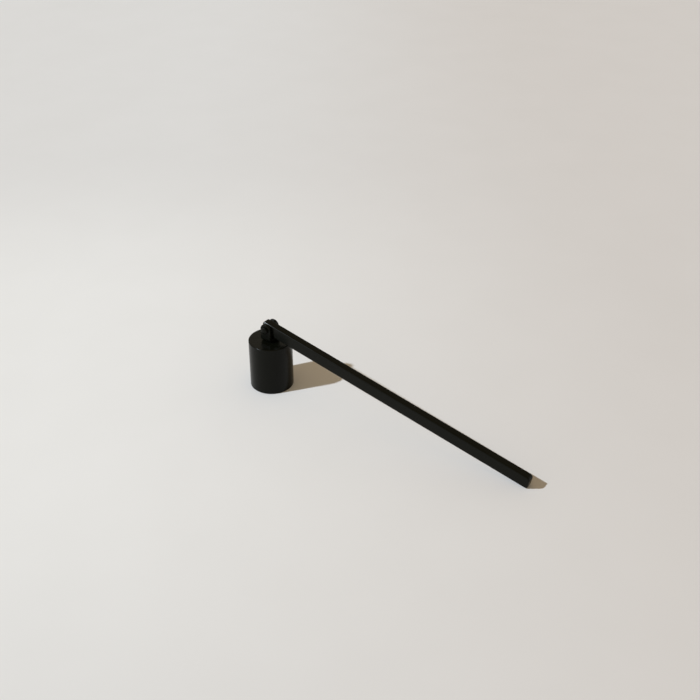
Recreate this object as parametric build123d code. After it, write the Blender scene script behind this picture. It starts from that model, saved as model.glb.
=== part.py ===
from build123d import *
import math
import os

# Candle snuffer: a round bell, mouth down, hinged to the end of a straight bar handle.
# Millimetres. The origin is the centre of the bell's mouth, on the table.
# +X runs along the handle, +Y along the hinge rivet and +Z up.

# Bell: a turned cup, open below
BELL_DIAMETER = 25.4
BELL_HEIGHT = 30.2
BELL_WALL = 1.5
BELL_TOP_THICKNESS = 2.0
BELL_TOP_CHAMFER = 0.35
BELL_MOUTH_CHAMFER = 0.3

# Yoke: a strap bent into a U, with round-topped ears
STRAP_WIDTH = 7.1
STRAP_THICKNESS = 1.8
STRAP_BEND_RADIUS = 0.7
STRAP_EDGE_RADIUS = 0.3
PIVOT_RISE = 7.9

# Handle: one straight bar, measured from the hinge to its two ends
BAR_REACH = 172.9
BAR_TAIL = 3.8
BAR_WIDTH = 4.8
BAR_DEPTH = 7.2
BAR_TIP_RADIUS = 1.0
BAR_TIP_TOP_RADIUS = 2.0
BAR_TAIL_RADIUS = 1.3
BAR_EDGE_RADIUS = 0.8

# Hinge rivet: a plain shank with a round head at each end, straight-sided under a low dome
RIVET_DIAMETER = 3.0
RIVET_HEAD_DIAMETER = 4.2
RIVET_HEAD_SIDE = 1.1
RIVET_HEAD_RISE = 1.5

# Yoke screw: a pan head inside the bell, with a cross recess, and the shank upwards
SCREW_DIAMETER = 3.0
SCREW_LENGTH = 5.0
SCREW_TIP_CHAMFER = 0.3
SCREW_HEAD_DIAMETER = 5.6
SCREW_HEAD_HEIGHT = 2.2
SCREW_HEAD_ROUNDING = 1.1
RECESS_SPAN = 2.9
RECESS_SLOT_WIDTH = 0.9
RECESS_DEPTH = 1.3
RECESS_TAPER_ANGLE = 12.0

# Lock washer: a ring with one slanting split
WASHER_DIAMETER = 6.2
WASHER_THICKNESS = 0.8
WASHER_SPLIT_GAP = 0.6
WASHER_SPLIT_ANGLE = 20.0

# Fits
BAR_SIDE_GAP = 0.15
RIVET_CLEARANCE = 0.05
SCREW_CLEARANCE = 0.2
WASHER_CLEARANCE = 0.1
CUT_OVERRUN = 1.0

# Heights and widths that several pieces share
bell_ceiling = BELL_HEIGHT - BELL_TOP_THICKNESS
pivot_height = BELL_HEIGHT + PIVOT_RISE
ear_radius = STRAP_WIDTH / 2
slot_width = BAR_WIDTH + 2 * BAR_SIDE_GAP
yoke_width = slot_width + 2 * STRAP_THICKNESS
screw_seat = bell_ceiling - WASHER_THICKNESS

STANDING = (Align.CENTER, Align.CENTER, Align.MIN)
HANGING = (Align.CENTER, Align.CENTER, Align.MAX)


def handle_drop_angle():
    """Degrees that the handle slopes down from the hinge, so that its tip rests on the table."""
    reach = BAR_REACH - BAR_TIP_RADIUS
    below = BAR_DEPTH / 2 - BAR_TIP_RADIUS
    fall = pivot_height - BAR_TIP_RADIUS
    return math.degrees(math.asin(fall / math.hypot(reach, below)) - math.atan2(below, reach))


def bell_cup():
    """The cup: straight wall, flat top, turned edges at the top and mouth, and a hole for the screw."""
    outside = Cylinder(BELL_DIAMETER / 2, BELL_HEIGHT, align=STANDING)
    outside = chamfer(outside.edges().group_by(Axis.Z)[-1], BELL_TOP_CHAMFER)
    hollow = Cylinder(BELL_DIAMETER / 2 - BELL_WALL, bell_ceiling + CUT_OVERRUN, align=STANDING)
    cup = outside - Pos(0, 0, -CUT_OVERRUN) * hollow
    cup = chamfer(cup.edges().group_by(Axis.Z)[0], BELL_MOUTH_CHAMFER)
    hole = Cylinder(SCREW_DIAMETER / 2 + SCREW_CLEARANCE, BELL_HEIGHT + CUT_OVERRUN, align=STANDING)
    return cup - hole


def strap_section():
    """The strap's U, drawn across the hinge, with both bends round."""
    height = PIVOT_RISE + ear_radius
    outer = Rectangle(yoke_width, height, align=(Align.CENTER, Align.MIN))
    outer = fillet(outer.vertices().group_by(Axis.Y)[0], STRAP_BEND_RADIUS + STRAP_THICKNESS)
    inner = Rectangle(slot_width, height, align=(Align.CENTER, Align.MIN))
    inner = fillet(inner.vertices().group_by(Axis.Y)[0], STRAP_BEND_RADIUS)
    return outer - Pos(0, STRAP_THICKNESS) * inner


def ear_outline():
    """The strap seen along the hinge: straight sides under a half-round top."""
    straight = Rectangle(STRAP_WIDTH, PIVOT_RISE + CUT_OVERRUN, align=(Align.CENTER, Align.MAX))
    return Pos(0, PIVOT_RISE) * (straight + Circle(ear_radius))


def yoke_strap():
    """The fork on the bell's top, with the rivet's two holes and the screw's tapped hole."""
    across = extrude(Plane.YZ * strap_section(), ear_radius + CUT_OVERRUN, both=True)
    along = extrude(Plane.XZ * ear_outline(), yoke_width / 2 + CUT_OVERRUN, both=True)
    strap = across & along
    ears = strap.faces().filter_by(Axis.Y).sort_by(Axis.Y)
    rims = (ears[0].edges() + ears[-1].edges()).filter_by(Axis.X, reverse=True)
    strap = fillet(rims, STRAP_EDGE_RADIUS)
    rivet_hole = Rot(90, 0, 0) * Cylinder(RIVET_DIAMETER / 2, yoke_width + CUT_OVERRUN)
    screw_hole = Cylinder(SCREW_DIAMETER / 2, STRAP_THICKNESS + 2 * CUT_OVERRUN)
    strap -= Pos(0, 0, PIVOT_RISE) * rivet_hole
    strap -= screw_hole
    return Pos(0, 0, BELL_HEIGHT) * strap


def domed_head(diameter, side, rise):
    """A round head, straight-sided under a low dome, pointing up from the origin."""
    half = diameter / 2
    dome = rise - side
    ball_radius = (half**2 + dome**2) / (2 * dome)
    ball = Pos(0, 0, rise - ball_radius) * Sphere(ball_radius)
    return ball & Cylinder(half, rise, align=STANDING)


def hinge_rivet():
    """The hinge pin, tight in both ears, with its heads on their outer faces."""
    shank = Cylinder(RIVET_DIAMETER / 2, yoke_width)
    head = domed_head(RIVET_HEAD_DIAMETER, RIVET_HEAD_SIDE, RIVET_HEAD_RISE)
    head = Pos(0, 0, yoke_width / 2) * head
    rivet = shank + head + mirror(head, Plane.XY)
    return Pos(0, 0, pivot_height) * Rot(90, 0, 0) * rivet


def handle_bar():
    """The bar, with all its long edges eased, both ends rounded and the rivet's running hole."""
    length = BAR_REACH + BAR_TAIL
    side = Pos(-BAR_TAIL, 0) * Rectangle(length, BAR_DEPTH, align=(Align.MIN, Align.CENTER))
    side = fillet(side.vertices().group_by(Axis.X)[0], BAR_TAIL_RADIUS)
    tip_corners = side.vertices().group_by(Axis.X)[-1].sort_by(Axis.Y)
    side = fillet(tip_corners[0], BAR_TIP_RADIUS)
    top_corner = side.vertices().group_by(Axis.X)[-1].sort_by(Axis.Y)[-1]
    side = fillet(top_corner, BAR_TIP_TOP_RADIUS)
    bar = extrude(Plane.XZ * side, BAR_WIDTH / 2, both=True)
    bar = fillet(bar.faces().filter_by(Axis.Y).edges(), BAR_EDGE_RADIUS)
    bar -= Rot(90, 0, 0) * Cylinder(RIVET_DIAMETER / 2 + RIVET_CLEARANCE, BAR_WIDTH + CUT_OVERRUN)
    return Pos(0, 0, pivot_height) * Rot(0, handle_drop_angle(), 0) * bar


def cross_recess():
    """The driver's cross, widest at the head's face and narrowing inwards."""
    cross = Rectangle(RECESS_SPAN, RECESS_SLOT_WIDTH) + Rectangle(RECESS_SLOT_WIDTH, RECESS_SPAN)
    return extrude(cross, RECESS_DEPTH, taper=RECESS_TAPER_ANGLE)


def yoke_screw():
    """The screw that holds the yoke on the bell, its head against the washer."""
    head = Cylinder(SCREW_HEAD_DIAMETER / 2, SCREW_HEAD_HEIGHT, align=HANGING)
    head = fillet(head.edges().group_by(Axis.Z)[0], SCREW_HEAD_ROUNDING)
    head -= Pos(0, 0, -SCREW_HEAD_HEIGHT) * cross_recess()
    shank = Cylinder(SCREW_DIAMETER / 2, SCREW_LENGTH, align=STANDING)
    shank = chamfer(shank.edges().group_by(Axis.Z)[-1], SCREW_TIP_CHAMFER)
    return Pos(0, 0, screw_seat) * (head + shank)


def lock_washer():
    """The split ring, pressed flat between the screw's head and the bell's ceiling."""
    ring = Cylinder(WASHER_DIAMETER / 2, WASHER_THICKNESS, align=STANDING)
    ring -= Cylinder(SCREW_DIAMETER / 2 + WASHER_CLEARANCE, WASHER_THICKNESS, align=STANDING)
    outwards = (Align.MIN, Align.CENTER, Align.CENTER)
    split = Box(WASHER_DIAMETER, WASHER_SPLIT_GAP, WASHER_DIAMETER, align=outwards)
    ring -= Pos(0, 0, WASHER_THICKNESS / 2) * Rot(WASHER_SPLIT_ANGLE, 0, 0) * split
    return Pos(0, 0, screw_seat) * ring


PIECES = {
    "bell_cup": bell_cup,
    "yoke_strap": yoke_strap,
    "yoke_screw": yoke_screw,
    "lock_washer": lock_washer,
    "hinge_rivet": hinge_rivet,
    "handle_bar": handle_bar,
}

os.makedirs("parts", exist_ok=True)
for name, make in PIECES.items():
    export_step(make(), f"parts/{name}.step")
print(f"handle slopes {handle_drop_angle():.3f} degrees, hinge at {pivot_height:.3f} mm")
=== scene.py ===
"""A satin black candle snuffer: a round bell, mouth down, hinged to the end of a straight bar handle.

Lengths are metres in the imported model's frame. The origin is the centre of the bell's mouth, on the
table. +X runs along the handle, +Y along the hinge rivet and +Z up.
"""

import logging
import math
from collections.abc import Callable, Mapping, Sequence
from dataclasses import dataclass, field
from enum import Enum

import bmesh
import bpy
from mathutils import Euler, Matrix, Vector


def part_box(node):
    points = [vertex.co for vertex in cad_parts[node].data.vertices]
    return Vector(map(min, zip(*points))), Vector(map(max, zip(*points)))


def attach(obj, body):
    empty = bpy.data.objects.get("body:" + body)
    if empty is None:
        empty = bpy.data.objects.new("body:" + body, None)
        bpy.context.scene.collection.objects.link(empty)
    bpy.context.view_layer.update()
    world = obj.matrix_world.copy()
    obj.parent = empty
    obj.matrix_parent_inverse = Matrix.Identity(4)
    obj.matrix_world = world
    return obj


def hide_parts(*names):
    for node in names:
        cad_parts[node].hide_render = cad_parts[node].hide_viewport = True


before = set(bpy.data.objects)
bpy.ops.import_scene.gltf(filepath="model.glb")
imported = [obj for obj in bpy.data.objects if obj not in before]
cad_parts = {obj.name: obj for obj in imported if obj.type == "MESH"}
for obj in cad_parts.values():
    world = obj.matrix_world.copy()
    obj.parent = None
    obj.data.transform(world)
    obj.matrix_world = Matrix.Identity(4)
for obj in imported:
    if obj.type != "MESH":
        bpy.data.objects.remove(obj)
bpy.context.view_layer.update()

LOG = logging.getLogger("snuffer")
WELD_DISTANCE = 2e-7
SHARP_ANGLE = math.radians(38.0)
QUARTER_TURN = math.pi / 2
HINGE_GLOSS = 0.085
NOISE_MIDDLE = 0.5
OPAQUE = 1.0
HOLE_FACETS = 64
ORIGIN = (0.0, 0.0, 0.0)
UPRIGHT = (0.0, 0.0, 0.0)

Colour = tuple[float, float, float]
Place = Callable[[float, float, float], Vector]
Station = tuple[float, float]
Wear = Callable[[float], float]
Ring = Sequence[bmesh.types.BMVert]


class Body(Enum):
    """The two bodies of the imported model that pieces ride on."""

    BELL = "bell"
    HANDLE = "handle"


class Slot(Enum):
    """The record's material slots."""

    COAT = "black_coat"
    STEEL = "black_steel"


class MathStep(Enum):
    """The steps of maths that a tree's numbers go through."""

    ADD = "ADD"
    SUBTRACT = "SUBTRACT"
    MULTIPLY = "MULTIPLY"
    DIVIDE = "DIVIDE"
    LARGER = "MAXIMUM"
    TURN_ANGLE = "ARCTAN2"
    ZIGZAG = "PINGPONG"
    SIZE = "ABSOLUTE"


class Blend(Enum):
    """How one colour is laid over another."""

    PLAIN = "MIX"
    MULTIPLY = "MULTIPLY"


class TreeInput(Enum):
    """The kinds of named input that a Geometry Nodes tree takes."""

    LENGTH = "NodeSocketFloat"
    COUNT = "NodeSocketInt"
    PLACE = "NodeSocketVector"
    TURN = "NodeSocketRotation"
    FINISH = "NodeSocketMaterial"


class Mark(Enum):
    """The attributes that meshes carry: edge is 1 on a rounding, 0 on a flat, and higher where a glint is
    painted.
    """

    EDGE = "edge"


class Reading:
    """A number on a node's socket, so that maths is written with Python's operators."""

    def __init__(self, nodes: "Nodes", socket: bpy.types.NodeSocket) -> None:
        """Keeps the socket, and the nodes that it belongs to."""
        self.nodes = nodes
        self.socket = socket

    def _step(self, step: MathStep, first: "Reading | float", second: "Reading | float") -> "Reading":
        """Adds one Math node.

        Args:
            step: What the node does.
            first: Its first number.
            second: Its second number.

        Returns:
            The node's result.
        """
        node = self.nodes.node(
            "ShaderNodeMath", {"operation": step.value}, {"Value": first, "Value_001": second}
        )
        return Reading(self.nodes, node.outputs["Value"])

    def __add__(self, other: "Reading | float") -> "Reading":
        """This number plus another."""
        return self._step(MathStep.ADD, self, other)

    def __radd__(self, other: float) -> "Reading":
        """Another number plus this one."""
        return self._step(MathStep.ADD, other, self)

    def __sub__(self, other: "Reading | float") -> "Reading":
        """This number less another."""
        return self._step(MathStep.SUBTRACT, self, other)

    def __rsub__(self, other: float) -> "Reading":
        """Another number less this one."""
        return self._step(MathStep.SUBTRACT, other, self)

    def __mul__(self, other: "Reading | float") -> "Reading":
        """This number times another."""
        return self._step(MathStep.MULTIPLY, self, other)

    def __rmul__(self, other: float) -> "Reading":
        """Another number times this one."""
        return self._step(MathStep.MULTIPLY, other, self)

    def __truediv__(self, other: "Reading | float") -> "Reading":
        """This number over another."""
        return self._step(MathStep.DIVIDE, self, other)

    def __rtruediv__(self, other: float) -> "Reading":
        """Another number over this one."""
        return self._step(MathStep.DIVIDE, other, self)

    def at_least(self, floor: float) -> "Reading":
        """This number, or the floor if it is lower."""
        return self._step(MathStep.LARGER, self, floor)

    def size(self) -> "Reading":
        """This number without its sign."""
        return self._step(MathStep.SIZE, self, 0.0)

    def turn_angle(self, along: "Reading") -> "Reading":
        """The angle of a point whose Y is this number and whose X is the other."""
        return self._step(MathStep.TURN_ANGLE, self, along)

    def zigzag(self, height: float) -> "Reading":
        """This number folded up and down between zero and a height."""
        return self._step(MathStep.ZIGZAG, self, height)

    def eased(self, low: "Reading | float", high: "Reading | float") -> "Reading":
        """A soft step from 0 to 1.

        Args:
            low: Where the step starts.
            high: Where the step ends.

        Returns:
            The stepped number.
        """
        node = self.nodes.node(
            "ShaderNodeMapRange",
            {"interpolation_type": "SMOOTHSTEP"},
            {"Value": self, "From Min": low, "From Max": high},
        )
        return Reading(self.nodes, node.outputs["Result"])


Feed = Reading | bpy.types.NodeSocket | float | int | str | Sequence[float] | bpy.types.ID
Stops = Sequence[tuple[float, Colour]]


class Nodes:
    """Adds nodes to one tree, each from its type, its settings and what its sockets take."""

    def __init__(self, tree: bpy.types.NodeTree) -> None:
        """Keeps the tree, emptied."""
        tree.nodes.clear()
        self.tree = tree

    def node(
        self,
        kind: str,
        settings: Mapping[str, object] | None = None,
        inputs: Mapping[str, Feed] | None = None,
    ) -> bpy.types.Node:
        """Adds one node.

        Args:
            kind: The node's type.
            settings: Its properties, and a ramp's stops, which are set first.
            inputs: Values or links for its sockets, by identifier or name.

        Returns:
            The new node.
        """
        made = self.tree.nodes.new(kind)
        for name, setting in (settings or {}).items():
            if name == "stops":
                self._set_stops(made.color_ramp, setting)
            else:
                setattr(made, name, setting)
        for key, feed in (inputs or {}).items():
            self._feed(self._socket(made, key), feed)
        return made

    @staticmethod
    def _socket(node: bpy.types.Node, key: str) -> bpy.types.NodeSocket:
        """A node's input by its identifier, or else by its name."""
        return next((s for s in node.inputs if s.identifier == key), None) or node.inputs[key]

    @staticmethod
    def _set_stops(ramp: bpy.types.ColorRamp, stops: Stops) -> None:
        """Gives a ramp its stops.

        Args:
            ramp: The ramp.
            stops: Places from 0 to 1, each with its colour.
        """
        while len(ramp.elements) < len(stops):
            ramp.elements.new(stops[-1][0])
        for element, (position, colour) in zip(ramp.elements, stops):
            element.position = position
            element.color = (*colour, OPAQUE)

    def _feed(self, socket: bpy.types.NodeSocket, feed: Feed) -> None:
        """Links or sets one socket.

        Args:
            socket: The socket.
            feed: A reading or a socket to link, or a plain value.
        """
        if isinstance(feed, Reading):
            self.tree.links.new(feed.socket, socket)
        elif isinstance(feed, bpy.types.NodeSocket):
            self.tree.links.new(feed, socket)
        elif socket.type == "RGBA":
            socket.default_value = (*feed, OPAQUE)
        else:
            socket.default_value = feed

    def axis_readings(self, vector: bpy.types.NodeSocket) -> tuple[Reading, Reading, Reading]:
        """The X, Y and Z of a vector, as readings."""
        parts = self.node("ShaderNodeSeparateXYZ", inputs={"Vector": vector})
        return tuple(Reading(self, parts.outputs[axis]) for axis in "XYZ")


class ShaderNodes(Nodes):
    """The nodes of a material or of the world, with the textures that the finishes share."""

    def object_place(self) -> bpy.types.NodeSocket:
        """The piece's own coordinates, in metres."""
        return self.node("ShaderNodeTexCoord").outputs["Object"]

    def mark(self, mark: Mark) -> Reading:
        """A number that the mesh carries on its points."""
        node = self.node("ShaderNodeAttribute", {"attribute_name": mark.value})
        return Reading(self, node.outputs["Fac"])

    def cloud(self, place: bpy.types.NodeSocket, size: float, detail: float = 2.0) -> Reading:
        """Soft noise with patches of one size.

        Args:
            place: The coordinates to read.
            size: How wide one patch is.
            detail: How many finer layers are laid on.

        Returns:
            The noise, from 0 to 1.
        """
        node = self.node(
            "ShaderNodeTexNoise", inputs={"Vector": place, "Scale": 1.0 / size, "Detail": detail}
        )
        return Reading(self, node.outputs[0])

    def stretched(self, place: bpy.types.NodeSocket, stretch: Sequence[float]) -> bpy.types.NodeSocket:
        """Coordinates multiplied axis by axis, so that noise runs in lines."""
        node = self.node("ShaderNodeMapping", inputs={"Vector": place, "Scale": stretch})
        return node.outputs["Vector"]

    def mixed(
        self, share: Reading, under: Feed, over: Feed, blend: Blend = Blend.PLAIN
    ) -> bpy.types.NodeSocket:
        """One colour laid over another.

        Args:
            share: How much of the upper colour shows, from 0 to 1.
            under: The lower colour.
            over: The upper colour.
            blend: How it is laid on.

        Returns:
            The mixed colour.
        """
        node = self.node(
            "ShaderNodeMix",
            {"data_type": "RGBA", "blend_type": blend.value},
            {"Factor_Float": share, "A_Color": under, "B_Color": over},
        )
        return next(s for s in node.outputs if s.identifier == "Result_Color")

    def bump(
        self, height: Reading, depth: float, under: bpy.types.NodeSocket | None = None
    ) -> bpy.types.NodeSocket:
        """A bumpy normal.

        Args:
            height: The relief, from 0 to 1.
            depth: How far it rises.
            under: A normal that it is added to.

        Returns:
            The normal.
        """
        inputs: dict[str, Feed] = {"Strength": 1.0, "Distance": depth, "Height": height}
        if under is not None:
            inputs["Normal"] = under
        return self.node("ShaderNodeBump", inputs=inputs).outputs["Normal"]

    def surface(self, inputs: Mapping[str, Feed]) -> None:
        """Ends a material in one Principled shader with these inputs."""
        shader = self.node("ShaderNodeBsdfPrincipled", inputs=inputs)
        self.node("ShaderNodeOutputMaterial", inputs={"Surface": shader.outputs["BSDF"]})


def new_material(name: str) -> tuple[bpy.types.Material, ShaderNodes]:
    """Starts a material.

    Args:
        name: The material's name.

    Returns:
        The material and its nodes, empty.
    """
    material = bpy.data.materials.new(name)
    material.use_nodes = True
    return material, ShaderNodes(material.node_tree)


@dataclass(frozen=True)
class SatinCoat:
    """A baked satin black coat on steel, finely grained and thin on the edges, which can carry a painted
    glint.
    """

    name: str
    deep: Colour = (0.0026, 0.0028, 0.0016)
    pale: Colour = (0.0037, 0.0039, 0.0023)
    thinned: Colour = (0.0046, 0.0047, 0.0034)
    roughness: float = 0.27
    roughness_drift: float = 0.04
    roughness_grain: float = 0.03
    thinned_gloss: float = 0.05
    gloss_level: float = 0.12
    cloud_size: float = 0.013
    cloud_detail: float = 3.0
    peel_size: float = 0.0015
    peel_detail: float = 1.0
    peel_depth: float = 0.0000055
    grain_size: float = 0.00024
    grain_depth: float = 0.0000030
    wear_size: float = 0.0011
    wear_from: float = 0.38
    wear_to: float = 0.72
    # Painted highlight: a pale metallic edge colour laid where the edge mark runs above 1.
    painted_tail_glint: bool = False
    painted_glint: Colour = (0.060, 0.060, 0.059)
    painted_glint_from: float = 1.0
    painted_glint_to: float = 2.6

    def material(self) -> bpy.types.Material:
        """Builds the coat's nodes.

        Returns:
            The material.
        """
        material, nodes = new_material(self.name)
        place = nodes.object_place()
        cloud = nodes.cloud(place, self.cloud_size, self.cloud_detail)
        peel = nodes.cloud(place, self.peel_size, self.peel_detail)
        grain = nodes.cloud(place, self.grain_size)
        edge = nodes.mark(Mark.EDGE)
        worn = edge * nodes.cloud(place, self.wear_size).eased(self.wear_from, self.wear_to)
        colour = nodes.mixed(cloud, self.deep, self.pale)
        colour = nodes.mixed(worn, colour, self.thinned)
        drift = self.roughness_drift * (cloud - NOISE_MIDDLE)
        drift = drift + self.roughness_grain * (grain - NOISE_MIDDLE)
        inputs: dict[str, Feed] = {
            "Base Color": colour,
            "Roughness": self.roughness + drift - self.thinned_gloss * worn,
            "Specular IOR Level": self.gloss_level,
            "Normal": nodes.bump(grain, self.grain_depth, nodes.bump(peel, self.peel_depth)),
        }
        # Painted highlight: where the edge mark runs above 1, the coat turns pale and metallic so that the
        # lamp's glint reads brighter.
        if self.painted_tail_glint:
            painted_glint = edge.eased(self.painted_glint_from, self.painted_glint_to)
            inputs["Base Color"] = nodes.mixed(painted_glint, colour, self.painted_glint)
            inputs["Metallic"] = painted_glint
        nodes.surface(inputs)
        return material


@dataclass(frozen=True)
class BlackenedSteel:
    """Oiled, blackened steel: dark metal with turning lines, brighter where edges rub."""

    name: str
    deep: Colour = (0.030, 0.030, 0.032)
    pale: Colour = (0.062, 0.060, 0.058)
    bright: Colour = (0.26, 0.255, 0.245)
    roughness: float = 0.36
    roughness_drift: float = 0.16
    stain_size: float = 0.0016
    stain_detail: float = 3.0
    line_size: float = 0.00016
    line_stretch: tuple[float, float, float] = (0.12, 0.12, 1.0)
    line_depth: float = 0.0000022
    rub_size: float = 0.0005
    rub_from: float = 0.4
    rub_to: float = 0.7

    def material(self) -> bpy.types.Material:
        """Builds the steel's nodes.

        Returns:
            The material.
        """
        material, nodes = new_material(self.name)
        place = nodes.object_place()
        stain = nodes.cloud(place, self.stain_size, self.stain_detail)
        lines = nodes.cloud(nodes.stretched(place, self.line_stretch), self.line_size)
        patches = nodes.cloud(place, self.rub_size).eased(self.rub_from, self.rub_to)
        rubbed = nodes.mark(Mark.EDGE) * patches
        colour = nodes.mixed(stain, self.deep, self.pale)
        colour = nodes.mixed(rubbed, colour, self.bright)
        nodes.surface(
            {
                "Base Color": colour,
                "Metallic": 1.0,
                "Roughness": self.roughness + self.roughness_drift * (stain - NOISE_MIDDLE),
                "Normal": nodes.bump(lines, self.line_depth),
            }
        )
        return material


@dataclass(frozen=True)
class PaleTable:
    """The pale matt table, with painted light in its colour: lighter in the lamp's pool, darker past it and
    away from the lamp.
    """

    name: str = "pale_table"
    # Painted light and shade: the lit pool's colour, the darker colour past it, and the darker far side.
    pool: Colour = (0.868, 0.866, 0.86)
    past_painted_pool: Colour = (0.772, 0.766, 0.762)
    painted_far_shade: Colour = (0.690, 0.655, 0.630)
    mottle: Colour = (0.965, 0.965, 0.96)
    roughness: float = 0.85
    gloss_level: float = 0.1
    middle: float = 0.066
    fall_off: float = 0.22
    across: tuple[float, float] = (0.8225, 0.5688)
    pool_edge: tuple[float, float] = (0.08, 0.35)
    mottle_size: float = 0.05

    def material(self) -> bpy.types.Material:
        """Builds the table's nodes.

        Returns:
            The material.
        """
        material, nodes = new_material(self.name)
        place = nodes.object_place()
        along, away, _ = nodes.axis_readings(place)
        # Painted shade: the colour darkens across the table away from the lamp, and past the lamp's pool.
        sideways = along * self.across[0] + away * self.across[1] - self.middle
        shade = sideways.eased(-self.fall_off, self.fall_off)
        lengthways = away * self.across[0] - along * self.across[1]
        colour = nodes.mixed(lengthways.size().eased(*self.pool_edge), self.pool, self.past_painted_pool)
        colour = nodes.mixed(shade, colour, self.painted_far_shade)
        colour = nodes.mixed(
            nodes.cloud(place, self.mottle_size), colour, self.mottle, Blend.MULTIPLY
        )
        nodes.surface(
            {
                "Base Color": colour,
                "Roughness": self.roughness,
                "Specular IOR Level": self.gloss_level,
            }
        )
        return material


@dataclass(frozen=True)
class Corner:
    """A corner of an outline, with the radius that rounds it."""

    across: float
    up: float
    radius: float = 0.0


@dataclass(frozen=True)
class OutlinePoint:
    """A point of a rounded outline; edge is 1 in the middle of a rounding and 0 on a flat."""

    across: float
    up: float
    edge: float = 0.0


@dataclass(frozen=True)
class Rounding:
    """How finely outlines and plate edges are rounded."""

    steps: int = 8
    shoulder: float = 0.00008

    def corner_points(self, before: Vector, corner: Corner, after: Vector) -> list[OutlinePoint]:
        """The points that stand for one corner.

        Args:
            before: The corner before it.
            corner: The corner.
            after: The corner after it.

        Returns:
            One point for a sharp corner, or an arc with a shoulder at each end.
        """
        tip = Vector((corner.across, corner.up))
        if not corner.radius:
            return [OutlinePoint(corner.across, corner.up)]
        back = (before - tip).normalized()
        forth = (after - tip).normalized()
        half = back.angle(forth) / 2
        reach = corner.radius / math.tan(half)
        centre = tip + (back + forth).normalized() * (corner.radius / math.sin(half))
        spoke = tip + back * reach - centre
        turn = math.copysign(math.pi - 2 * half, -back.cross(forth))
        points = [OutlinePoint(*(tip + back * (reach + self.shoulder)))]
        for step in range(self.steps + 1):
            spin = Matrix.Rotation(turn * step / self.steps, 2)
            edge = math.sin(math.pi * step / self.steps)
            points.append(OutlinePoint(*(centre + spin @ spoke), edge))
        points.append(OutlinePoint(*(tip + forth * (reach + self.shoulder))))
        return points

    def outline(self, corners: Sequence[Corner], closed: bool) -> list[OutlinePoint]:
        """Rounds an outline's corners.

        Args:
            corners: The corners in order.
            closed: Whether the last joins the first.

        Returns:
            The outline's points in order.
        """
        spots = [Vector((c.across, c.up)) for c in corners]
        count = len(corners)
        points: list[OutlinePoint] = []
        for i, corner in enumerate(corners):
            if not closed and i in (0, count - 1):
                points.append(OutlinePoint(corner.across, corner.up))
            else:
                points += self.corner_points(spots[i - 1], corner, spots[(i + 1) % count])
        return points


FINE = Rounding()


class GeometryTree(Nodes):
    """A Geometry Nodes tree with named inputs, which ends in Realize Instances and Set Material."""

    def __init__(self, name: str) -> None:
        """Starts a tree that takes and gives a mesh, and takes a finish.

        Args:
            name: The tree's name.
        """
        tree = bpy.data.node_groups.new(name, "GeometryNodeTree")
        super().__init__(tree)
        tree.interface.new_socket("Geometry", in_out="INPUT", socket_type="NodeSocketGeometry")
        tree.interface.new_socket("Geometry", in_out="OUTPUT", socket_type="NodeSocketGeometry")
        self.identifiers: dict[str, str] = {}
        self.source = self.node("NodeGroupInput")
        self.finish = self.named_input("Finish", TreeInput.FINISH)

    @property
    def geometry(self) -> bpy.types.NodeSocket:
        """The mesh that the tree is given."""
        return self.source.outputs["Geometry"]

    def named_input(self, name: str, kind: TreeInput) -> bpy.types.NodeSocket:
        """Adds one named input.

        Args:
            name: Its name.
            kind: What it takes.

        Returns:
            The socket that gives its value in the tree.
        """
        item = self.tree.interface.new_socket(name, in_out="INPUT", socket_type=kind.value)
        self.identifiers[name] = item.identifier
        return self.source.outputs[name]

    def length(self, name: str) -> Reading:
        """Adds a named length, for maths."""
        return Reading(self, self.named_input(name, TreeInput.LENGTH))

    def end(self, geometry: bpy.types.NodeSocket) -> None:
        """Ends the tree.

        Args:
            geometry: What it has made.
        """
        real = self.node("GeometryNodeRealizeInstances", inputs={"Geometry": geometry})
        dressed = self.node(
            "GeometryNodeSetMaterial",
            inputs={"Geometry": real.outputs["Geometry"], "Material": self.finish},
        )
        self.node("NodeGroupOutput", inputs={"Geometry": dressed.outputs["Geometry"]})

    def run(self, piece: bpy.types.Object, values: Mapping[str, object]) -> None:
        """Runs the tree on a piece and keeps the result as its plain mesh.

        Args:
            piece: The object whose mesh goes in and is replaced.
            values: The named inputs' values.
        """
        modifier = piece.modifiers.new(self.tree.name, "NODES")
        modifier.node_group = self.tree
        for name, value in values.items():
            modifier[self.identifiers[name]] = value
        keep_evaluated_mesh(piece)


def keep_evaluated_mesh(piece: bpy.types.Object) -> None:
    """Replaces a piece's mesh by what its modifiers make of it, and removes them.

    Args:
        piece: The object.
    """
    name = piece.data.name
    rough = piece.data
    depsgraph = bpy.context.evaluated_depsgraph_get()
    mesh = bpy.data.meshes.new_from_object(piece.evaluated_get(depsgraph))
    piece.modifiers.clear()
    piece.data = mesh
    bpy.data.meshes.remove(rough)
    mesh.name = name


def new_piece(name: str, mesh: bpy.types.Mesh) -> bpy.types.Object:
    """Puts a mesh into the scene as an object at the origin.

    Args:
        name: The object's name.
        mesh: Its mesh.

    Returns:
        The object.
    """
    piece = bpy.data.objects.new(name, mesh)
    bpy.context.scene.collection.objects.link(piece)
    return piece


def mesh_from(work: bmesh.types.BMesh, name: str) -> bpy.types.Mesh:
    """Writes hand-built faces into a new mesh.

    Args:
        work: The faces, which are freed.
        name: The mesh's name.

    Returns:
        The mesh.
    """
    mesh = bpy.data.meshes.new(name)
    work.to_mesh(mesh)
    work.free()
    return mesh


def join_rings(work: bmesh.types.BMesh, low: Ring, high: Ring) -> None:
    """Joins two rings by a band of faces.

    Args:
        work: Where the faces go.
        low: One ring's points.
        high: The other's, point for point.
    """
    for i in range(len(low)):
        j = (i + 1) % len(low)
        work.faces.new((low[i], low[j], high[j], high[i]))


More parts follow.
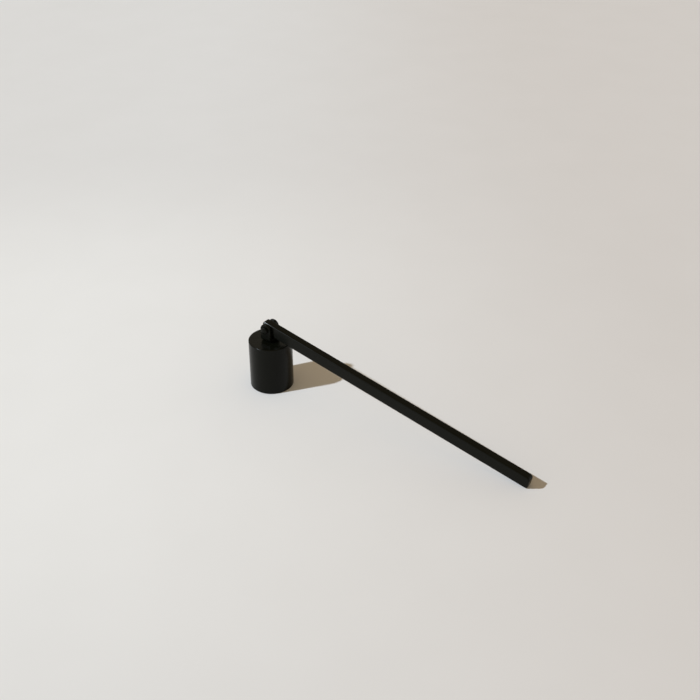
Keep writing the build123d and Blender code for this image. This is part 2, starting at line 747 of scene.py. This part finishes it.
def smooth_closed(piece: bpy.types.Object) -> None:
    """Welds a piece's seams, turns its faces outwards and shades its roundings smooth.

    Args:
        piece: The object.
    """
    mesh = piece.data
    work = bmesh.new()
    work.from_mesh(mesh)
    bmesh.ops.remove_doubles(work, verts=work.verts, dist=WELD_DISTANCE)
    bmesh.ops.dissolve_degenerate(work, edges=work.edges, dist=WELD_DISTANCE)
    bmesh.ops.recalc_face_normals(work, faces=work.faces)
    work.to_mesh(mesh)
    work.free()
    mesh.shade_smooth()
    mesh.set_sharp_from_angle(angle=SHARP_ANGLE)


def cut(piece: bpy.types.Object, cutters: Sequence[bpy.types.Object]) -> None:
    """Cuts shapes out of a piece and removes the cutters.

    Args:
        piece: The object that is cut.
        cutters: Closed shapes.
    """
    for cutter in cutters:
        modifier = piece.modifiers.new(cutter.name, "BOOLEAN")
        modifier.operation = "DIFFERENCE"
        modifier.solver = "EXACT"
        modifier.object = cutter
    keep_evaluated_mesh(piece)
    for cutter in cutters:
        mesh = cutter.data
        bpy.data.objects.remove(cutter)
        bpy.data.meshes.remove(mesh)


def round_cutter(name: str, radius: float, length: float, place: Matrix) -> bpy.types.Object:
    """A drill-shaped cutter.

    Args:
        name: Its name.
        radius: The hole's radius.
        length: The cutter's length.
        place: Where its middle is, and how it is turned from standing upright.

    Returns:
        The cutter.
    """
    work = bmesh.new()
    bmesh.ops.create_cone(
        work,
        cap_ends=True,
        segments=HOLE_FACETS,
        radius1=radius,
        radius2=radius,
        depth=length,
        matrix=place,
    )
    return new_piece(name, mesh_from(work, name))


def fit_to_frame(piece: bpy.types.Object, body: Body, node: str) -> None:
    """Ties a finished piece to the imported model.

    Args:
        piece: The finished object.
        body: The body that it rides on.
        node: The node that it stands for.
    """
    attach(piece, body.value)
    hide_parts(node)


@dataclass
class Lathe:
    """Turns a section about an upright axis, then lays the piece in its place."""

    facets: int
    path_radius: float = 0.01

    def tree(self) -> GeometryTree:
        """Builds the turning tree.

        Returns:
            The tree, whose inputs are the path's radius, the facets, the turn, the place and the finish.
        """
        tree = GeometryTree("turned_piece")
        radius = tree.length("Path radius")
        facets = tree.named_input("Facets", TreeInput.COUNT)
        turn = tree.named_input("Turn", TreeInput.TURN)
        place = tree.named_input("Place", TreeInput.PLACE)
        section = tree.node("GeometryNodeMeshToCurve", inputs={"Mesh": tree.geometry})
        path = tree.node(
            "GeometryNodeCurvePrimitiveCircle", inputs={"Resolution": facets, "Radius": radius}
        )
        swept = tree.node(
            "GeometryNodeCurveToMesh",
            inputs={"Curve": path.outputs["Curve"], "Profile Curve": section.outputs["Curve"]},
        )
        laid = tree.node(
            "GeometryNodeTransform",
            inputs={"Geometry": swept.outputs["Mesh"], "Translation": place, "Rotation": turn},
        )
        tree.end(laid.outputs["Geometry"])
        return tree

    def turn(
        self,
        name: str,
        section: Sequence[OutlinePoint],
        closed: bool,
        finish: bpy.types.Material,
        place: Sequence[float] = ORIGIN,
        tilt: Sequence[float] = UPRIGHT,
    ) -> bpy.types.Object:
        """Turns one piece.

        Args:
            name: The piece's name.
            section: Half of its section: distance from the axis, and height.
            closed: Whether the section joins up, or ends on the axis.
            finish: Its material.
            place: Where its own origin goes.
            tilt: The angles by which it is turned from upright.

        Returns:
            The finished object.
        """
        mesh = bpy.data.meshes.new(name)
        count = len(section)
        joins = [(i, (i + 1) % count) for i in range(count if closed else count - 1)]
        mesh.from_pydata([(p.across - self.path_radius, -p.up, 0.0) for p in section], joins, [])
        marks = mesh.attributes.new(Mark.EDGE.value, "FLOAT", "POINT")
        marks.data.foreach_set("value", [p.edge for p in section])
        piece = new_piece(name, mesh)
        self.tree().run(
            piece,
            {
                "Finish": finish,
                "Path radius": self.path_radius,
                "Facets": self.facets,
                "Turn": Euler(tilt),
                "Place": place,
            },
        )
        smooth_closed(piece)
        return piece


def turned(angle: float, axis: str) -> Matrix:
    """A turn about one of the frame's axes."""
    return Matrix.Rotation(angle, 4, axis)


def even_wear(along: float) -> float:
    """Edges that are worn alike all along."""
    return 1.0


def even_steps(start: float, end: float, steps: int) -> list[float]:
    """Evenly spaced numbers from a start up to an end, without the end."""
    return [start + (end - start) * i / steps for i in range(steps)]


@dataclass
class EasedPlate:
    """A flat plate with all its edges rounded; its two sides have the same number of points."""

    name: str
    upper: Sequence[Station]
    lower: Sequence[Station]
    thickness: float
    ease: float
    # Scales the edge mark along the plate; on the handle it also paints a glint at the tail.
    wear: Wear = even_wear
    rounding: Rounding = FINE
    least_lean: float = 0.2

    def _loop(self) -> list[Vector]:
        """The plate's outline: its upper side from end to end, then its lower side back."""
        return [Vector(s) for s in [*self.upper, *reversed(self.lower)]]

    def _inset(self, loop: Sequence[Vector], depth: float) -> list[Vector]:
        """An outline moved inwards.

        Args:
            loop: The outline, clockwise.
            depth: How far it moves.

        Returns:
            The inset outline, point for point.
        """
        moved = []
        for i, spot in enumerate(loop):
            into = (spot - loop[i - 1]).normalized()
            out = (loop[(i + 1) % len(loop)] - spot).normalized()
            inward = Vector((into.y + out.y, -into.x - out.x)).normalized()
            lean = max(Vector((out.y, -out.x)).dot(inward), self.least_lean)
            moved.append(spot + inward * (depth / lean))
        return moved

    def _levels(self) -> list[tuple[float, float, float]]:
        """Works out the rings that the plate is built from.

        Returns:
            The inset, the height and the edge mark of each, from the under face to the upper.
        """
        steps = self.rounding.steps
        shoulder = self.rounding.shoulder
        flat = self.thickness / 2
        rise = []
        for step in range(steps + 1):
            angle = QUARTER_TURN * step / steps
            inset = self.ease * (1 - math.cos(angle))
            rise.append((inset, flat - self.ease * (1 - math.sin(angle)), math.sin(2 * angle)))
        rise.insert(0, (0.0, flat - self.ease - shoulder, 0.0))
        rise.append((self.ease + shoulder, flat, 0.0))
        return [(inset, -height, mark) for inset, height, mark in reversed(rise)] + rise

    def _mesh(self, place: Place) -> bpy.types.Mesh:
        """Builds the plate's mesh.

        Args:
            place: Where a point goes, from its distance along, its distance across and its height.

        Returns:
            The mesh.
        """
        work = bmesh.new()
        mark = work.verts.layers.float.new(Mark.EDGE.value)
        loop = self._loop()
        rings = []
        for inset, height, edge in self._levels():
            ring = []
            for spot in self._inset(loop, inset):
                vertex = work.verts.new(place(spot.x, spot.y, height))
                vertex[mark] = edge * self.wear(spot.x)
                ring.append(vertex)
            rings.append(ring)
        for low, high in zip(rings, rings[1:]):
            join_rings(work, low, high)
        count = len(loop)
        for ring in (rings[0], rings[-1]):
            for i in range(count // 2 - 1):
                work.faces.new((ring[i], ring[i + 1], ring[count - 2 - i], ring[count - 1 - i]))
        return mesh_from(work, self.name)

    def drilled(
        self, place: Place, finish: SatinCoat, holes: Sequence[bpy.types.Object]
    ) -> bpy.types.Object:
        """Builds the plate, coats it and drills its holes.

        Args:
            place: Where a point goes, from its distance along, its distance across and its height.
            finish: Its coat.
            holes: The holes' cutters.

        Returns:
            The drilled object.
        """
        mesh = self._mesh(place)
        mesh.materials.append(finish.material())
        piece = new_piece(self.name, mesh)
        smooth_closed(piece)
        cut(piece, holes)
        smooth_closed(piece)
        return piece


@dataclass
class Bell:
    """The bell: a turned cup, open below, with a hole in its top for the yoke's screw."""

    radius: float = 0.0127
    height: float = 0.0302
    wall: float = 0.0015
    top_thickness: float = 0.0020
    top_edge: float = 0.00055
    mouth_edge: float = 0.0005
    inner_corner: float = 0.0009
    hole_radius: float = 0.0017
    lathe: Lathe = field(default_factory=lambda: Lathe(facets=192))

    @property
    def ceiling(self) -> float:
        """The height of the bell's ceiling."""
        return self.height - self.top_thickness

    def build(self, finish: SatinCoat) -> bpy.types.Object:
        """Turns the cup.

        Args:
            finish: Its coat.

        Returns:
            The finished object.
        """
        inside = self.radius - self.wall
        corners = [
            Corner(self.hole_radius, self.height),
            Corner(self.radius, self.height, self.top_edge),
            Corner(self.radius, 0.0, self.mouth_edge),
            Corner(inside, 0.0, self.mouth_edge),
            Corner(inside, self.ceiling, self.inner_corner),
            Corner(self.hole_radius, self.ceiling),
        ]
        section = FINE.outline(corners, closed=True)
        piece = self.lathe.turn("bell_shell", section, closed=True, finish=finish.material())
        fit_to_frame(piece, Body.BELL, "bell_cup")
        return piece


@dataclass
class Yoke:
    """The fork on the bell's top: a strap bent into a U, with round-topped ears."""

    seat: float
    width: float = 0.0071
    thickness: float = 0.0018
    bend_radius: float = 0.0007
    edge_radius: float = 0.00040
    pivot_rise: float = 0.0079
    slot_width: float = 0.0051
    rivet_radius: float = 0.0015
    screw_radius: float = 0.0015
    bend_steps: int = 12
    ear_steps: int = 18
    ear_last_step: float = 0.5
    straight_steps: int = 4
    cut_overrun: float = 0.001

    @property
    def pivot(self) -> float:
        """The height of the hinge."""
        return self.seat + self.pivot_rise

    @property
    def half_width(self) -> float:
        """From the middle to an ear's outer face."""
        return self.slot_width / 2 + self.thickness

    @property
    def _middle_radius(self) -> float:
        """The bend's radius at the middle of the strap."""
        return self.bend_radius + self.thickness / 2

    @property
    def _floor_half(self) -> float:
        """Half the flat floor between the bends."""
        return self.slot_width / 2 - self.bend_radius

    @property
    def _bend_length(self) -> float:
        """A bend's length at the middle of the strap."""
        return QUARTER_TURN * self._middle_radius

    @property
    def _half_length(self) -> float:
        """Half the flat strap's length before it is bent."""
        bend_top = self.thickness / 2 + self._middle_radius
        return self._floor_half + self._bend_length + self.pivot_rise + self.width / 2 - bend_top

    def _stations(self) -> list[Station]:
        """Draws one side of the flat strap, whose ears end in a short facet across.

        Returns:
            The points from end to end: distance from the strap's middle and half its width there.
        """
        half = self.width / 2
        shoulder = self._half_length - half
        bend_end = self._floor_half + self._bend_length
        rising = even_steps(0.0, self._floor_half, self.straight_steps)
        rising += even_steps(self._floor_half, bend_end, self.bend_steps)
        rising += even_steps(bend_end, shoulder, self.straight_steps)
        straight = [(-s, half) for s in reversed(rising[1:])] + [(s, half) for s in rising]
        step = QUARTER_TURN / (self.ear_steps + self.ear_last_step)
        ear = []
        for i in range(self.ear_steps + 1):
            angle = step * i
            ear.append((shoulder + half * math.sin(angle), half * math.cos(angle)))
        return [(-s, w) for s, w in reversed(ear)] + straight + ear

    def _bent(self, along: float, across: float, height: float) -> Vector:
        """Where a point of the flat strap goes when the strap is bent.

        Args:
            along: Distance along the strap from its middle.
            across: Distance from its middle line.
            height: Distance above the middle of its thickness, towards the inside of the U.

        Returns:
            The point.
        """
        run = abs(along)
        side = math.copysign(1.0, along)
        radius = self._middle_radius - height
        centre = self.seat + self.thickness / 2 + self._middle_radius
        if run <= self._floor_half:
            return Vector((across, along, self.seat + self.thickness / 2 + height))
        angle = (run - self._floor_half) / self._middle_radius
        if angle <= QUARTER_TURN:
            out = self._floor_half + radius * math.sin(angle)
            return Vector((across, side * out, centre - radius * math.cos(angle)))
        up = run - self._floor_half - self._bend_length
        return Vector((across, side * (self._floor_half + radius), centre + up))

    def build(self, finish: SatinCoat) -> bpy.types.Object:
        """Bends the strap and drills its three holes.

        Args:
            finish: Its coat.

        Returns:
            The finished object.
        """
        upper = self._stations()
        lower = [(along, -across) for along, across in upper]
        plate = EasedPlate("yoke_fork", upper, lower, self.thickness, self.edge_radius)
        across = Matrix.Translation((0.0, 0.0, self.pivot)) @ turned(QUARTER_TURN, "X")
        through = 2 * (self.half_width + self.cut_overrun)
        rivet_hole = round_cutter("rivet_hole", self.rivet_radius, through, across)
        upright = Matrix.Translation((0.0, 0.0, self.seat + self.thickness / 2))
        deep = self.thickness + self.cut_overrun
        screw_hole = round_cutter("screw_hole", self.screw_radius, deep, upright)
        piece = plate.drilled(self._bent, finish, [rivet_hole, screw_hole])
        fit_to_frame(piece, Body.BELL, "yoke_strap")
        return piece


@dataclass
class HingeRivet:
    """The hinge rivet: a shank through both ears, with a straight-sided, domed head at each end."""

    pivot: float
    half_span: float
    shank_radius: float = 0.0015
    head_radius: float = 0.0021
    head_rise: float = 0.0015
    head_side: float = 0.0011
    rim_radius: float = 0.00028
    dome_steps: int = 12
    lathe: Lathe = field(default_factory=lambda: Lathe(facets=96))

    def _head(self) -> list[OutlinePoint]:
        """Draws one head.

        Returns:
            Half of its section, from its crown to its seat on the ear.
        """
        rise = self.head_rise - self.head_side
        ball = (self.head_radius**2 + rise**2) / (2 * rise)
        spread = math.asin(self.head_radius / ball)
        top = self.half_span + self.head_rise - ball
        points = []
        for step in range(self.dome_steps):
            angle = spread * step / self.dome_steps
            points.append(OutlinePoint(ball * math.sin(angle), top + ball * math.cos(angle)))
        rim = Corner(self.head_radius, self.half_span + self.head_side, self.rim_radius)
        before = Vector((points[-1].across, points[-1].up))
        after = Vector((self.head_radius, self.half_span))
        points += FINE.corner_points(before, rim, after)
        points.append(OutlinePoint(self.head_radius, self.half_span))
        points.append(OutlinePoint(self.shank_radius, self.half_span))
        return points

    def build(self, finish: SatinCoat) -> bpy.types.Object:
        """Turns the rivet and lays it along the hinge.

        Args:
            finish: Its coat.

        Returns:
            The finished object.
        """
        head = self._head()
        section = head + [OutlinePoint(p.across, -p.up, p.edge) for p in reversed(head)]
        piece = self.lathe.turn(
            "hinge_pin",
            section,
            closed=False,
            finish=finish.material(),
            place=(0.0, 0.0, self.pivot),
            tilt=(QUARTER_TURN, 0.0, 0.0),
        )
        fit_to_frame(piece, Body.BELL, "hinge_rivet")
        return piece


@dataclass
class YokeScrew:
    """The screw from inside the bell up into the yoke: a pan head with a cross recess, and a thread."""

    seat: float
    radius: float = 0.0015
    length: float = 0.0050
    tip_chamfer: float = 0.0003
    head_radius: float = 0.0028
    head_height: float = 0.0022
    head_rounding: float = 0.0011
    head_edge: float = 0.00012
    recess_span: float = 0.0029
    recess_slot: float = 0.0009
    recess_depth: float = 0.0013
    recess_taper: float = math.radians(12.0)
    recess_arms: int = 4
    pitch: float = 0.0005
    thread_depth: float = 0.00029
    crest_to_root: float = 0.5
    thread_run_out: float = 0.0004
    rings_per_turn: int = 10
    cut_overrun: float = 0.0003
    lathe: Lathe = field(default_factory=lambda: Lathe(facets=72))

    def _section(self) -> list[OutlinePoint]:
        """Draws the screw, with enough rings along its shank to take the thread.

        Returns:
            Half of its section, from the middle of its head's face up to its tip.
        """
        corners = [
            Corner(0.0, -self.head_height),
            Corner(self.head_radius, -self.head_height, self.head_rounding),
            Corner(self.head_radius, 0.0, self.head_edge),
            Corner(self.radius, 0.0),
        ]
        section = FINE.outline(corners, closed=False)
        straight = self.length - self.tip_chamfer
        rings = round(straight / self.pitch * self.rings_per_turn)
        section += [OutlinePoint(self.radius, straight * i / rings) for i in range(1, rings + 1)]
        section.append(OutlinePoint(self.radius - self.tip_chamfer, self.length))
        section.append(OutlinePoint(0.0, self.length))
        return section

    def _thread_tree(self) -> GeometryTree:
        """Builds the tree that presses a thread into the shank.

        Returns:
            The tree, whose inputs are the thread's sizes, the shank's radius and the ends of the thread.
        """
        tree = GeometryTree("screw_thread")
        pitch = tree.length("Pitch")
        depth = tree.length("Depth")
        shank = tree.length("Shank radius")
        start = tree.length("Start")
        run_out = tree.length("Run-out")
        spot = tree.node("GeometryNodeInputPosition").outputs["Position"]
        along, away, up = tree.axis_readings(spot)
        turns = up / pitch - away.turn_angle(along) / math.tau
        groove = 1.0 - turns.zigzag(self.crest_to_root) / self.crest_to_root
        groove = groove * up.eased(start, start + run_out)
        shrink = 1.0 - groove * depth / shank
        moved = tree.node("ShaderNodeCombineXYZ", inputs={"X": along * shrink, "Y": away * shrink, "Z": up})
        pressed = tree.node(
            "GeometryNodeSetPosition",
            inputs={"Geometry": tree.geometry, "Position": moved.outputs["Vector"]},
        )
        tree.end(pressed.outputs["Geometry"])
        return tree

    def _recess(self) -> bpy.types.Object:
        """Makes the cutter for the driver's cross, widest at the head's face.

        Returns:
            The cutter.
        """
        face = self.seat - self.head_height
        slope = math.tan(self.recess_taper)
        work = bmesh.new()
        rings = []
        for lift in (-self.cut_overrun, self.recess_depth):
            long = self.recess_span / 2 - slope * lift
            short = self.recess_slot / 2 - slope * lift
            quarter = [(long, -short), (long, short), (short, short)]
            ring = []
            for turn in range(self.recess_arms):
                spin = turned(QUARTER_TURN * turn, "Z")
                ring += [work.verts.new(spin @ Vector((x, y, face + lift))) for x, y in quarter]
            rings.append(ring)
        low, high = rings
        join_rings(work, low, high)
        work.faces.new(list(reversed(low)))
        work.faces.new(high)
        bmesh.ops.recalc_face_normals(work, faces=work.faces)
        return new_piece("cross_recess", mesh_from(work, "cross_recess"))

    def build(self, finish: BlackenedSteel) -> bpy.types.Object:
        """Turns the screw, presses its thread and cuts the driver's recess.

        Args:
            finish: Its steel.

        Returns:
            The finished object.
        """
        steel = finish.material()
        place = (0.0, 0.0, self.seat)
        piece = self.lathe.turn("cap_screw", self._section(), closed=False, finish=steel, place=place)
        self._thread_tree().run(
            piece,
            {
                "Finish": steel,
                "Pitch": self.pitch,
                "Depth": self.thread_depth,
                "Shank radius": self.radius,
                "Start": self.seat,
                "Run-out": self.thread_run_out,
            },
        )
        cut(piece, [self._recess()])
        smooth_closed(piece)
        fit_to_frame(piece, Body.BELL, "yoke_screw")
        return piece


@dataclass
class LockWasher:
    """The split washer under the screw's head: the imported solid, with a steel finish."""

    node: str = "lock_washer"

    def dress(self, finish: BlackenedSteel) -> bpy.types.Object:
        """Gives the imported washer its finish.

        Args:
            finish: Its steel.

        Returns:
            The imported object.
        """
        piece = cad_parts[self.node]
        piece.material_slots[0].material = finish.material()
        return piece


@dataclass
class Handle:
    """The handle: one straight bar with rounded ends and eased edges, its tip on the table."""

    pivot: float
    reach: float = 0.172898
    tail: float = 0.0038
    width: float = 0.0048
    depth: float = 0.007198
    tip_radius: float = 0.0010
    tip_top_radius: float = 0.0020
    tail_radius: float = 0.0013
    tail_fall_start: float = 0.0011
    tail_fall_radius: float = 0.034
    edge_radius: float = 0.0008
    hole_radius: float = 0.00155
    # Painted glint: how much the edge mark rises at the tail, and over what length it falls back.
    tail_glint_boost: float = 1.3
    glint_reach: float = 0.010
    corner_steps: int = 10
    fall_steps: int = 8
    length_steps: int = 40
    cut_overrun: float = 0.001

    @property
    def drop(self) -> float:
        """Works out how far the bar slopes down from the hinge, so that its tip rests on the table.

        Returns:
            The angle.
        """
        reach = self.reach - self.tip_radius
        below = self.depth / 2 - self.tip_radius
        fall = self.pivot - self.tip_radius
        return math.asin(fall / math.hypot(reach, below)) - math.atan2(below, reach)

    def _stations(self, tip_radius: float) -> list[Station]:
        """One long side of the bar seen from the side: distance from the hinge and half its depth.

        Args:
            tip_radius: What rounds the corner at the tip.

        Returns:
            The points from the tail to the tip.
        """
        half = self.depth / 2
        back: list[Station] = []
        front: list[Station] = []
        for i in range(self.corner_steps + 1):
            angle = QUARTER_TURN * i / self.corner_steps
            slide = 1 - math.sin(angle)
            lift = 1 - math.cos(angle)
            back.append((-self.tail + self.tail_radius * lift, half - self.tail_radius * slide))
            front.append((self.reach - tip_radius * lift, half - tip_radius * slide))
        fall = (self.tail_fall_start - back[-1][0]) / self.fall_steps
        back += [(self.tail_fall_start - fall * i, half) for i in reversed(range(self.fall_steps))]
        back = [(along, up - self._tail_fall(along)) for along, up in back]
        run = (front[-1][0] - self.tail_fall_start) / self.length_steps
        straight = [(self.tail_fall_start + run * i, half) for i in range(1, self.length_steps)]
        return back + straight + list(reversed(front))

    def _tail_fall(self, along: float) -> float:
        """How far the bar's long sides have drawn in, at a distance from the hinge towards its tail."""
        return (self.tail_fall_start - along) ** 2 / (2 * self.tail_fall_radius)

    def _wear_and_glint(self, along: float) -> float:
        """How strong the edge mark is along the bar: higher at the tail, where it paints a brighter glint
        and more coat wear.
        """
        return 1.0 + self.tail_glint_boost * max(0.0, 1.0 - max(0.0, along + self.tail) / self.glint_reach)

    def build(self, finish: SatinCoat) -> bpy.types.Object:
        """Makes the bar, slopes it and drills the rivet's hole.

        Args:
            finish: Its coat.

        Returns:
            The finished object.
        """
        slope = Matrix.Translation((0.0, 0.0, self.pivot)) @ turned(self.drop, "Y")
        upper = self._stations(self.tip_top_radius)
        lower = [(along, -up) for along, up in self._stations(self.tip_radius)]
        plate = EasedPlate("handle_stick", upper, lower, self.width, self.edge_radius, self._wear_and_glint)
        across = slope @ turned(QUARTER_TURN, "X")
        hole = round_cutter("running_hole", self.hole_radius, self.width + self.cut_overrun, across)
        piece = plate.drilled(lambda along, up, side: slope @ Vector((along, side, up)), finish, [hole])
        fit_to_frame(piece, Body.HANDLE, "handle_bar")
        return piece


@dataclass
class Studio:
    """The pale table, the soft room, the lamp and the camera."""

    floor_half: float = 8.0
    floor_level: float = -0.00005
    lens: float = 54.687
    sensor: float = 36.0
    near_clip: float = 0.01
    camera_place: tuple[float, float, float] = (0.33458, -0.40261, 0.35817)
    camera_elevation: float = math.radians(32.765)
    camera_azimuth: float = math.radians(34.667)
    light_place: tuple[float, float, float] = (-0.286, -0.392, 0.472)
    light_power: float = 26.7
    light_colour: Colour = (0.804, 0.897, 1.0)
    light_radius: float = 0.011
    lowest_slope: float = 0.05
    room: Stops = (
        (0.0, (0.73, 0.71, 0.68)),
        (0.26, (0.68, 0.64, 0.58)),
        (0.50, (0.56, 0.50, 0.39)),
        (0.66, (0.25, 0.195, 0.115)),
        (0.84, (0.22, 0.148, 0.065)),
        (1.0, (0.40, 0.262, 0.115)),
    )

    def _table(self) -> None:
        """Lays the table just under the bell's rim."""
        half = self.floor_half
        mesh = bpy.data.meshes.new("table_top")
        corners = [(-half, -half), (half, -half), (half, half), (-half, half)]
        mesh.from_pydata([(x, y, self.floor_level) for x, y in corners], [], [(0, 1, 2, 3)])
        mesh.materials.append(PaleTable().material())
        new_piece("table_top", mesh)

    def _room(self) -> None:
        """Lights the room softly: pale at the horizon, dim half way up, warm overhead."""
        world = bpy.data.worlds.new("soft_room")
        world.use_nodes = True
        nodes = ShaderNodes(world.node_tree)
        towards = nodes.node("ShaderNodeTexCoord").outputs["Generated"]
        height = nodes.axis_readings(towards)[2]
        ramp = nodes.node("ShaderNodeValToRGB", {"stops": self.room}, {"Fac": height})
        glow = nodes.node("ShaderNodeBackground", inputs={"Color": ramp.outputs["Color"], "Strength": 1.0})
        nodes.node("ShaderNodeOutputWorld", inputs={"Surface": glow.outputs["Background"]})
        bpy.context.scene.world = world

    def _lamp(self) -> None:
        """Hangs the one clear light near by on the left; it lights the table as evenly as daylight."""
        lamp = bpy.data.lights.new("table_lamp", "POINT")
        lamp.energy = self.light_power
        lamp.color = self.light_colour
        lamp.shadow_soft_size = self.light_radius
        lamp.use_nodes = True
        nodes = ShaderNodes(lamp.node_tree)
        beam = nodes.node("ShaderNodeTexCoord").outputs["Normal"]
        slope = nodes.axis_readings(beam)[2].size().at_least(self.lowest_slope)
        even = nodes.node("ShaderNodeLightFalloff", inputs={"Strength": 1.0 / slope})
        shine = nodes.node("ShaderNodeEmission", inputs={"Strength": even.outputs["Constant"]})
        nodes.node("ShaderNodeOutputLight", inputs={"Surface": shine.outputs["Emission"]})
        holder = bpy.data.objects.new("table_lamp", lamp)
        holder.location = self.light_place
        bpy.context.scene.collection.objects.link(holder)

    def _camera(self) -> None:
        """Sets the camera where the photograph was taken from."""
        data = bpy.data.cameras.new("camera")
        data.lens = self.lens
        data.sensor_width = self.sensor
        data.clip_start = self.near_clip
        camera = bpy.data.objects.new("camera", data)
        camera.location = self.camera_place
        camera.rotation_euler = (QUARTER_TURN - self.camera_elevation, 0.0, self.camera_azimuth)
        bpy.context.scene.collection.objects.link(camera)
        bpy.context.scene.camera = camera

    def build(self) -> None:
        """Sets up the whole studio."""
        self._table()
        self._room()
        self._lamp()
        self._camera()
        bpy.context.scene.view_settings.view_transform = "Standard"


def main() -> None:
    """Builds the snuffer piece by piece and reports each, then sets up the studio round it."""
    logging.basicConfig(level=logging.INFO, format="%(message)s")
    bell = Bell()
    yoke = Yoke(seat=bell.height)
    rivet = HingeRivet(yoke.pivot, yoke.half_width)
    handle = Handle(yoke.pivot)
    screw = YokeScrew(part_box("lock_washer")[0].z)
    washer = LockWasher()
    pieces = [
        bell.build(SatinCoat("bell_satin_black")),
        yoke.build(SatinCoat("yoke_satin_black", gloss_level=HINGE_GLOSS)),
        rivet.build(SatinCoat("rivet_satin_black", gloss_level=HINGE_GLOSS)),
        # The handle's coat paints a brighter glint at its tail.
        handle.build(SatinCoat("handle_satin_black", painted_tail_glint=True)),
        screw.build(BlackenedSteel("screw_black_steel")),
        washer.dress(BlackenedSteel("washer_black_steel")),
    ]
    for piece in pieces:
        LOG.info("%s: %d faces, %s", piece.name, len(piece.data.polygons), piece.active_material.name)
    Studio().build()


if __name__ == "__main__":
    main()
